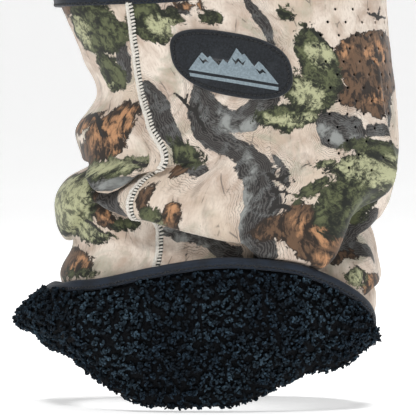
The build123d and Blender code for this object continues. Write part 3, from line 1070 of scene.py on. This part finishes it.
def lock_mesh(roots, normals, length, r):
    """Curled tapering locks of wool, one for each root, as one set of vertices and faces."""
    path, thick = lock_paths(roots, normals, length, r)
    ahead = unit(np.gradient(path, axis=1))
    u = unit(np.cross(ahead, normals[:, None, :] + 0.01))
    v = np.cross(ahead, u)
    rings = []
    for angle in 2 * math.pi * np.arange(LOCK_SIDES) / LOCK_SIDES:
        offset = u * math.cos(angle) + v * math.sin(angle)
        rings.append(path + offset * (thick[:, None] * LOCK_TAPER)[..., None])
    faces = copied(grid_faces(LOCK_POINTS, LOCK_SIDES, True), len(roots), LOCK_POINTS * LOCK_SIDES)
    return np.stack(rings, axis=2).reshape(-1, 3), faces


def tufts(points):
    """The nearest tuft's middle for each point, and how far away it is."""
    cell = np.floor(points / CLUMP).astype(int)
    best = np.full(len(points), np.inf)
    middle = points.copy()
    for step in np.ndindex(3, 3, 3):
        c = cell + np.array(step) - 1
        jitter = [LATTICE[tuple((c + k * np.array([1, 5, 9])).T % LATTICE_SIZE)] for k in range(3)]
        place = (c + np.stack(jitter, -1)) * CLUMP
        away = np.linalg.norm(place - points, axis=1)
        nearer = away < best
        best[nearer], middle[nearer] = away[nearer], place[nearer]
    return middle, best


def lock_chance():
    """How many locks each face of the lining has on average, with none under the hem's tape."""
    p, s = pile_base, COLUMN_S
    a, b = np.roll(p, -1, axis=1)[:-1] - p[:-1], p[1:] - p[:-1]
    area = np.linalg.norm(np.cross(a, b), axis=-1)
    bare = TAPE_TO_LOCKS * (1 - 0.8 * step_up(0.80, 0.92, -across_tube(s)))
    bare += 4.0 * step_up(0.88, 0.98, across_tube(s))
    zone = lining_zone[:-1, None]
    under_tape = (zone == ON_FLAP) & (lining[:-1, :, 2] > hem_height(s) - bare)
    return area * LOCKS_PER_MM2[zone] * ~under_tape, a, b


def lock_roots(r):
    """The locks' roots, normals, columns, nearness to a tuft's middle, and length."""
    chance, a, b = lock_chance()
    count = r.poisson(chance)
    row, column = np.nonzero(count)
    times = count[row, column]
    row, column = np.repeat(row, times), np.repeat(column, times)
    fr, fc = r.random(len(row))[:, None], r.random(len(row))[:, None]
    roots = pile_base[row, column] + a[row, column] * fc + b[row, column] * fr
    normals = lining_normal[row, column]
    middle, away = tufts(roots)
    pull = (middle - roots) * GATHER
    pull -= normals * (pull * normals).sum(axis=1, keepdims=True)
    length = np.where(lining_zone[row] == ON_TURN, 0.55, 1.0)
    lift = TUFT_LIFT * (1 - np.clip(away / CLUMP, 0, 1)) * length
    in_tuft = 1 - np.clip(away / CLUMP * 1.25, 0, 1)
    return roots + pull + normals * lift[:, None], normals, column, in_tuft, length


def lock_piece(side, part, some):
    """One batch of locks, with how much painted highlight each point takes."""
    vertices, faces = lock_mesh(roots[some], root_normals[some], lock_length[some], rng)
    along_lock = np.repeat(np.linspace(0.1, 1, LOCK_POINTS), LOCK_SIDES)
    # Painted highlight: stronger near a tuft's middle, where the tufts stand up, and towards each
    # lock's tip, with a random factor for each lock.
    bright = (0.3 + 0.8 * in_tuft[some]) * rng.uniform(0.4, 1.5, len(some))
    tip_highlight = np.clip(np.outer(bright, along_lock), 0, 1)
    name, slot = f"sherpa_locks_{side}_{part}", f"sherpa_{side}"
    return new_piece(name, slot, sherpa, vertices, faces, values={"tip_highlight": tip_highlight}, replaces=False)


sherpa = sherpa_material()
front_lining = lining_panel("lining_front_panel", FRONT_COLUMNS, "sherpa_front")
back_lining = lining_panel("lining_back_panel", BACK_COLUMNS, "sherpa_back")

roots, root_normals, root_columns, in_tuft, lock_length = lock_roots(rng)
in_back = (root_columns >= near_column) & (root_columns < far_column)
locks = {"front": [], "back": []}
for side, chosen in (("front", ~in_back), ("back", in_back)):
    order = np.flatnonzero(chosen)
    for part, start in enumerate(range(0, len(order), MAX_LOCKS), 1):
        locks[side].append(lock_piece(side, part, order[start : start + MAX_LOCKS]))


# ---- tapes ----------------------------------------------------------------------------------
def swept(path, outward, upward, outline, turn):
    """A closed band: an outline of (out, up) points carried round a closed path."""
    c, k = np.cos(turn)[:, None], np.sin(turn)[:, None]
    rows = [
        path + outward * (out * c + up * k) + upward * (up * c - out * k) for out, up in outline
    ]
    count, around = len(path), len(outline)
    faces = grid_faces(around + 1, count, True) % (around * count)
    return np.concatenate(rows), np.roll(faces[:, ::-1], 1, axis=1)


def frames(path):
    """Directions along a closed path round the tube, outwards from it and up from it."""
    ahead = unit(np.roll(path, -1, axis=0) - np.roll(path, 1, axis=0))
    out = np.stack([on_ring(RING_NX, COLUMN_S), on_ring(RING_NY, COLUMN_S), 0 * COLUMN_S], -1)
    out = unit(out - ahead * (out * ahead).sum(axis=1, keepdims=True))
    up = np.cross(ahead, out)
    return ahead, out, up * np.sign(up[:, 2:])


STITCH_SIDES = 6
STITCH_RINGS = ((0, 0.35), (0.18, 0.9), (0.5, 1.0), (0.82, 0.9), (1, 0.35))  # along, thickness
END_QUADS = ([0, 1, 2, 3], [0, 3, 4, 5])  # two quads that close a ring of six


def stitch_faces():
    """The faces of one stitch: its rings, and two quads over each end."""
    faces = grid_faces(len(STITCH_RINGS), STITCH_SIDES, True)
    first = np.arange(STITCH_SIDES)[::-1]
    last = np.arange(STITCH_SIDES) + (len(STITCH_RINGS) - 1) * STITCH_SIDES
    ends = [ring[quad] for ring in (first, last) for quad in END_QUADS]
    return np.concatenate([faces, ends])


def spindles(starts, ends, radius, lift=0.0):
    """Short plump stitches from each start to each end, bowed along lift."""
    along = unit(ends - starts)
    helper = np.where(np.abs(along[:, 2:]) > 0.8, [[1.0, 0.1, 0]], [[0, 0.1, 1.0]])
    u = unit(np.cross(along, helper))
    v = np.cross(along, u)
    rings = []
    for t, width in STITCH_RINGS:
        middle = starts + (ends - starts) * t + lift * math.sin(math.pi * t)
        for k in range(STITCH_SIDES):
            angle = 2 * math.pi * k / STITCH_SIDES
            rings.append(middle + (u * math.cos(angle) + v * math.sin(angle)) * radius * width)
    faces = copied(stitch_faces(), len(starts), len(rings))
    return np.stack(rings, axis=1).reshape(-1, 3), faces


def joined(parts):
    """Several (vertices, faces) as one."""
    counts = np.cumsum([0] + [len(vertices) for vertices, _ in parts])
    faces = [faces + count for (_, faces), count in zip(parts, counts)]
    return np.concatenate([vertices for vertices, _ in parts]), np.concatenate(faces)


HEM_OUTLINE = [
    (-1.6, -3.6), (-2.4, -2.2), (-2.6, 0.0), (-2.2, 1.7), (-1.1, 2.5), (0.4, 2.7), (1.6, 2.3),
    (2.4, 1.3), (2.75, -0.1), (2.65, -1.3), (2.1, -1.9), (2.5, -2.3), (2.75, -2.8), (2.5, -3.4),
    (1.2, -3.8),
]
HEM_GROOVE = (2.45, -1.85)
FACE_OUTLINE = [
    (-0.6, -8.0), (0.5, -8.0), (0.95, -7.4), (0.6, -6.8), (1.0, -6.2), (1.3, -4.0), (1.1, -1.6),
    (0.3, 0.0), (-1.2, 0.8), (-3.4, 1.1), (-5.6, 0.8), (-7.2, 0.0), (-8.0, -1.6), (-8.2, -4.0),
    (-7.9, -7.4), (-6.8, -8.0),
]
FACE_GROOVE = (0.85, -6.8)
STITCH_PITCH = 2.1
ZIGZAG_ALONG, ZIGZAG_ACROSS, ZIGZAG_THICKNESS = 0.95, 0.75, 0.42

def zigzag(path, directions, turn, groove):
    """Zigzag stitches in a tape's groove, all the way round."""
    gap = np.linalg.norm(np.roll(path, -1, axis=0) - path, axis=1)
    along = np.concatenate([[0], np.cumsum(gap)])
    count = round(along[-1] / STITCH_PITCH)
    at = (np.arange(count) + 0.5) * along[-1] / count
    index = np.interp(at, along, np.arange(len(along)))
    low = np.floor(index).astype(int) % len(path)
    share = (index - np.floor(index))[:, None]
    p, a, o, u, t = [
        data[low] * (1 - share) + data[(low + 1) % len(path)] * share
        for data in (path, *directions, turn[:, None])
    ]
    out, rise = groove
    c, k = np.cos(t), np.sin(t)
    centre = p + o * (out * c + rise * k) + u * (rise * c - out * k)
    sign = np.where(np.arange(count) % 2, 1.0, -1.0)[:, None]
    reach = a * ZIGZAG_ALONG + (u * c) * ZIGZAG_ACROSS * sign
    return spindles(centre - reach, centre + reach, ZIGZAG_THICKNESS)


def hem_line():
    """The hem tape's path, and how far its outline is turned over: half round where it hangs."""
    turned = turned_share(COLUMN_S)
    sunk = 4.0 * step_up(0.80, 0.95, -across_tube(COLUMN_S))
    out = turned * (flap_out(COLUMN_S, 1.0) + 0.6 - sunk) + (1 - turned) * -4.2
    z = hem_height(COLUMN_S) + (1 - 2 * turned) * 1.2 + 1.2 * (1 - turned)
    return tube_point(COLUMN_S, z, out), math.pi * (1 - turned)


tape = tape_material("hem_tape", linear(9, 17, 27), linear(20, 32, 47))
dark_thread = thread_material("dark_thread", linear(6, 7, 9), linear(20, 23, 27))
edge_line = wall_point(COLUMN_S, face_edge(COLUMN_S)), 0 * COLUMN_S
EDGES = [  # edge, tape's name, path and turn, outline, groove
    ("hem", "hem_binding", *hem_line(), HEM_OUTLINE, HEM_GROOVE),
    ("face", "face_edge_binding", *edge_line, FACE_OUTLINE, FACE_GROOVE),
]
for edge, name, path, turn, outline, _ in EDGES:
    _, side, up = frames(path)
    new_piece(name, f"{edge}_binding_tape", tape, *swept(path, side, up, outline, turn))
for edge, _, path, turn, _, groove in EDGES:
    stitches = zigzag(path, frames(path), turn, groove)
    new_piece(f"{edge}_binding_stitching", f"{edge}_thread", dark_thread, *stitches)

# ---- flatlock seams -------------------------------------------------------------------------
FLATLOCK_PITCH = 2.05
SEAM_TO_EDGE = 7.4  # where the seam goes under the upper tape


def seam_frames(s_of_z, low, high):
    """Evenly spaced places down a seam, with directions along it, across it and outwards."""
    z = np.linspace(low, high, 900)
    s = s_of_z(z)
    line = wall_point(s, z)
    beside = wall_point(s - 1.5, z) - wall_point(s + 1.5, z)
    along = np.concatenate([[0], np.cumsum(np.linalg.norm(np.diff(line, axis=0), axis=1))])
    at = np.arange(FLATLOCK_PITCH / 2, along[-1], FLATLOCK_PITCH)
    point = np.stack([np.interp(at, along, line[:, k]) for k in range(3)], -1)
    across = np.stack([np.interp(at, along, beside[:, k]) for k in range(3)], -1)
    ahead = unit(np.gradient(point, axis=0))
    across = unit(across - ahead * (across * ahead).sum(axis=1, keepdims=True))
    return point, ahead, across, np.cross(across, ahead)


def flatlock(name, slot, s_of_z, low, high):
    """Rungs on the side towards the face and looped cover thread on the other, over a dark strip that
    paints the shade in the gaps between the rungs, with the dark of the needle holes.
    """
    point, ahead, across, out = seam_frames(s_of_z, low, high)

    def at(along, over, lift):
        return point + ahead * along + across * over + out * lift

    n = len(point)
    loose = rng.normal(0, 0.1, (n, 3))
    loops = [spindles(at(-0.3, -0.6, 0.55) + loose, at(0.3, 2.3, 0.3) + loose, 0.68, out * 0.1)]
    for step in (-0.5, 0.5):
        loose = rng.normal(0, 0.14, (n, 3))
        start, end = at(step - 0.8, -2.3, 0.3), at(step + 0.6, -0.3, 0.65) + loose
        loops.append(spindles(start, end, 0.58, out * 0.3))
        start, end = at(step + 0.8, -2.2, 0.3) + loose, at(step - 0.4, -0.4, 0.6)
        loops.append(spindles(start, end, 0.5, out * 0.35))
        start, end = at(step - 0.3, -1.6, 0.8) + loose, at(step + 0.4, -0.9, 0.9) - loose
        loops.append(spindles(start, end, 0.34))
    loops.append(spindles(at(-1.2, -2.2, 0.3), at(1.2, -2.1, 0.3) + loose, 0.48))
    # A dark strip under the rungs: painted shade between them, with the dark of the needle holes.
    shade_strip = np.concatenate([at(0, over, 0.12) for over in (-0.3, 0.8, 2.0)]), grid_faces(3, n)
    piece = new_piece(name, slot, white_thread, *joined([*loops, shade_strip]))
    piece.data.materials.append(gap_shade)
    marks = np.zeros(len(piece.data.polygons), np.int32)
    marks[-len(shade_strip[1]) :] = 1
    piece.data.polygons.foreach_set("material_index", marks)
    return piece


def at_column(height, column):
    return float(height(COLUMN_S[[column % COLUMNS]])[0])


white_thread = thread_material("white_thread", linear(196, 190, 180), linear(236, 232, 224))
# The dark strip under the seam's rungs: painted shade between the rungs, with the dark of the needle
# holes.
gap_shade = thread_material("seam_gap_shade", linear(44, 50, 46), linear(72, 78, 72))
near_flatlock = flatlock(
    "seam_stitching_right", "seam_thread_right", lambda z: eased(near_seam, z),
    40.0, at_column(face_edge, near_column) - SEAM_TO_EDGE,
)
far_s = COLUMN_S[far_column % COLUMNS]
far_flatlock = flatlock(
    "seam_stitching_left", "seam_thread_left", lambda z: far_s + 0 * z,
    at_column(fold_height, far_column) + 5.5, at_column(face_edge, far_column) - SEAM_TO_EDGE,
)

# ---- the patch ------------------------------------------------------------------------------
PATCH_X, PATCH_Z, PATCH_TURN = 14.3, 204.0, math.radians(-9.0)
PATCH_HALF_WIDTH, PATCH_HALF_HEIGHT, PATCH_ROUNDNESS = 36.2, 19.0, 2.7
PATCH_THICKNESS, PATCH_STITCH_INSET, PATCH_STITCHES = 1.5, 2.3, 66
INK_HEIGHT, INK_THICKNESS, INK_TILE = 0.28, 0.3, 0.25
patch_s = s_at(PATCH_X, PATCH_Z)


def on_patch(a, b, out):
    """A point of the patch from its own width, height and thickness."""
    c, k = math.cos(PATCH_TURN), math.sin(PATCH_TURN)
    a, b = np.asarray(a, float), np.asarray(b, float)
    return wall_point(patch_s - (a * c - b * k), PATCH_Z + a * k + b * c, out)


def oval(angle, inset=0.0):
    """The patch's outline, moved in by inset."""
    c, k = np.cos(angle), np.sin(angle)
    a = np.sign(c) * np.abs(c) ** (2 / PATCH_ROUNDNESS) * (PATCH_HALF_WIDTH - inset)
    b = np.sign(k) * np.abs(k) ** (2 / PATCH_ROUNDNESS) * (PATCH_HALF_HEIGHT - inset)
    return a, b


def even_angles(count, inset=0.0):
    """Angles that space points evenly along the patch's outline."""
    angle = np.linspace(0, 2 * math.pi, 2001)
    a, b = oval(angle, inset)
    along = np.concatenate([[0], np.cumsum(np.hypot(np.diff(a), np.diff(b)))])
    return np.interp(np.arange(count) * along[-1] / count, along, angle)


def patch_mesh():
    """A thick suede oval with a rolled edge and a stitched groove."""
    angle = even_angles(200)
    profile = [  # inset, height
        (0.0, -0.4), (-0.15, 0.5), (0.0, 1.1), (0.4, 1.5), (1.0, 1.65), (1.7, 1.55), (2.0, 1.1),
        (2.4, 0.9), (2.8, 1.1), (3.4, 1.5), (5.0, 1.55), (8.0, 1.5), (12.0, 1.5), (15.5, 1.5),
        (18.2, 1.5),
    ]
    points = [on_patch(*oval(angle, inset), height) for inset, height in profile]
    faces = grid_faces(len(profile), len(angle), True)[:, ::-1]
    ring = (len(profile) - 1) * len(angle) + np.arange(len(angle))
    closing = [
        [ring[k], ring[k + 1], ring[-k - 2], ring[-k - 1]] for k in range(len(angle) // 2 - 1)
    ]
    return np.concatenate(points), np.concatenate([faces, closing])


def patch_stitches():
    """Stitches in the groove, each reaching most of the way to the next."""
    angle = even_angles(PATCH_STITCHES, PATCH_STITCH_INSET)
    step = np.diff(angle, append=2 * math.pi)
    starts = on_patch(*oval(angle, PATCH_STITCH_INSET), 1.3)
    ends = on_patch(*oval(angle + 0.72 * step, PATCH_STITCH_INSET), 1.3)
    return spindles(starts, ends, 0.5)


new_piece("patch_base", "patch_suede", suede_material(), *patch_mesh())
new_piece("patch_stitching", "patch_thread", dark_thread, *patch_stitches())

EMBLEM = [  # closed outlines on the patch: a range of peaks and a ground bar
    [
        (-27, -7.5), (-17, 4.5), (-14.2, 1.6), (-12.6, 3.0), (-8.2, -2.0), (-5.0, 2.2),
        (-2.6, 0.2), (4.0, 10.2), (6.8, 6.6), (8.4, 7.6), (13.4, 0.8), (16.4, 4.4), (18.6, 2.6),
        (27, -7.5),
    ],
    [(-27, -9.2), (27, -9.2), (27, -11.2), (-27, -11.2)],
]
SNOW_LINES = [  # gaps cut across the peaks
    [(-19.6, 1.4), (-17.2, -0.6), (-15.6, 0.8), (-13.8, -1.2), (-15.9, -1.0), (-17.4, -2.4)],
    [(0.2, 4.6), (2.4, 2.2), (4.2, 4.4), (6.4, 1.8), (8.8, 3.8), (6.6, 0.2), (4.2, 2.4), (2.2, 0.2)],
    [(13.6, 0.4), (16.2, -1.6), (18.0, 0.0), (20.6, -2.4), (18.0, -2.0), (16.0, -3.4)],
]


def inside(outline, a, b):
    """Whether points are inside a closed outline, by counting crossings."""
    hit = np.zeros(a.shape, bool)
    for (a0, b0), (a1, b1) in zip(outline, outline[1:] + outline[:1]):
        if b0 != b1:
            crosses = (b0 > b) != (b1 > b)
            hit ^= crosses & (a < (a1 - a0) * (b - b0) / (b1 - b0) + a0)
    return hit


def emblem_mesh():
    """The emblem as thick ink: fine tiles inside its outlines, with side walls."""
    across, upward = np.arange(-28, 28, INK_TILE), np.arange(-12, 11, INK_TILE)
    a, b = np.meshgrid(across, upward, indexing="ij")
    middle_a, middle_b = a + INK_TILE / 2, b + INK_TILE / 2
    ink = np.any([inside(outline, middle_a, middle_b) for outline in EMBLEM], axis=0)
    ink &= ~np.any([inside(outline, middle_a, middle_b) for outline in SNOW_LINES], axis=0)
    i, j = np.nonzero(ink)
    low, high = i * len(upward) + j, (i + 1) * len(upward) + j
    tiles = np.stack([low, high, high + 1, low + 1], -1)
    used, tiles = np.unique(tiles, return_inverse=True)
    vertices = on_patch(a.ravel()[used], b.ravel()[used], PATCH_THICKNESS + INK_HEIGHT)
    return vertices, tiles.reshape(-1, 4)


thicken(new_piece("patch_emblem", "emblem_ink", ink_material(), *emblem_mesh()), INK_THICKNESS)

# ---- floor, light and camera ----------------------------------------------------------------
VIEW_WIDTH = 0.2496 * 420 / 416
VIEW_AT = (0.0003, 0.0, 0.1167)
VIEW_DISTANCE, VIEW_RAISED = 2.4, math.radians(2.0)
FLOOR_FRONT, FLOOR_BACK, FLOOR_HALF_WIDTH = -6.0, 4.2, 8.0
BACKDROP_CURVE, BACKDROP_TOP = 1.4, 6.0
WHITE = (1, 1, 1, 1)


def put_in_scene(name, data, at=(0, 0, 0), aimed=False):
    """An object in the scene, turned towards the middle of the view where it is aimed."""
    thing = bpy.data.objects.new(name, data)
    thing.location = at
    if aimed:
        towards = Vector(VIEW_AT) - Vector(at)
        thing.rotation_euler = towards.to_track_quat("-Z", "Y").to_euler()
    bpy.context.scene.collection.objects.link(thing)
    return thing


def studio_floor():
    """A pale floor that curves up into a backdrop, well behind the object."""
    profile = [(FLOOR_FRONT, 0.0)]
    for t in np.linspace(0, math.pi / 2, 14):
        rise = BACKDROP_CURVE - BACKDROP_CURVE * math.cos(t)
        profile.append((FLOOR_BACK + BACKDROP_CURVE * math.sin(t), rise))
    profile.append((FLOOR_BACK + BACKDROP_CURVE, BACKDROP_TOP))
    vertices = [(x, y, z) for x in (-FLOOR_HALF_WIDTH, FLOOR_HALF_WIDTH) for y, z in profile]
    count = len(profile)
    faces = [(k, k + 1, count + k + 1, count + k) for k in range(count - 1)]
    mesh = bpy.data.meshes.new("studio_floor")
    mesh.from_pydata(vertices, [], faces)
    mesh.polygons.foreach_set("use_smooth", np.ones(len(faces), bool))
    n = Nodes("studio_floor")
    n.put({"Emission Color": WHITE, "Emission Strength": 0.48}, n.shader)
    mesh.materials.append(n.finish((0.88, 0.88, 0.88, 1), 0.9, 0.0, 0.1))
    put_in_scene("studio_floor", mesh)


def soft_light(name, at, size, power):
    light = bpy.data.lights.new(name, "AREA")
    light.shape, light.size, light.energy = "DISK", size, power
    put_in_scene(name, light, at, aimed=True)


def studio_camera():
    camera = bpy.data.cameras.new("camera")
    camera.sensor_width = 36
    camera.lens = camera.sensor_width * VIEW_DISTANCE / VIEW_WIDTH
    camera.clip_end = 20
    x, y, z = VIEW_AT
    back = VIEW_DISTANCE * math.cos(VIEW_RAISED)
    rise = VIEW_DISTANCE * math.sin(VIEW_RAISED)
    eye = put_in_scene("camera", camera, (x, y - back, z + rise), aimed=True)
    bpy.context.scene.camera = eye


studio_floor()
soft_light("key", (-0.8, -1.3, 2.3), 0.5, 36)
soft_light("fill", (1.9, -1.6, 0.9), 1.2, 8)
soft_light("top", (0.4, 0.2, 2.2), 0.8, 34)
studio_camera()
world = bpy.data.worlds.new("studio")
world.use_nodes = True
sky = world.node_tree.nodes["Background"]
sky.inputs["Color"].default_value = WHITE
sky.inputs["Strength"].default_value = 0.22
bpy.context.scene.world = world
bpy.context.scene.view_settings.view_transform = "Standard"
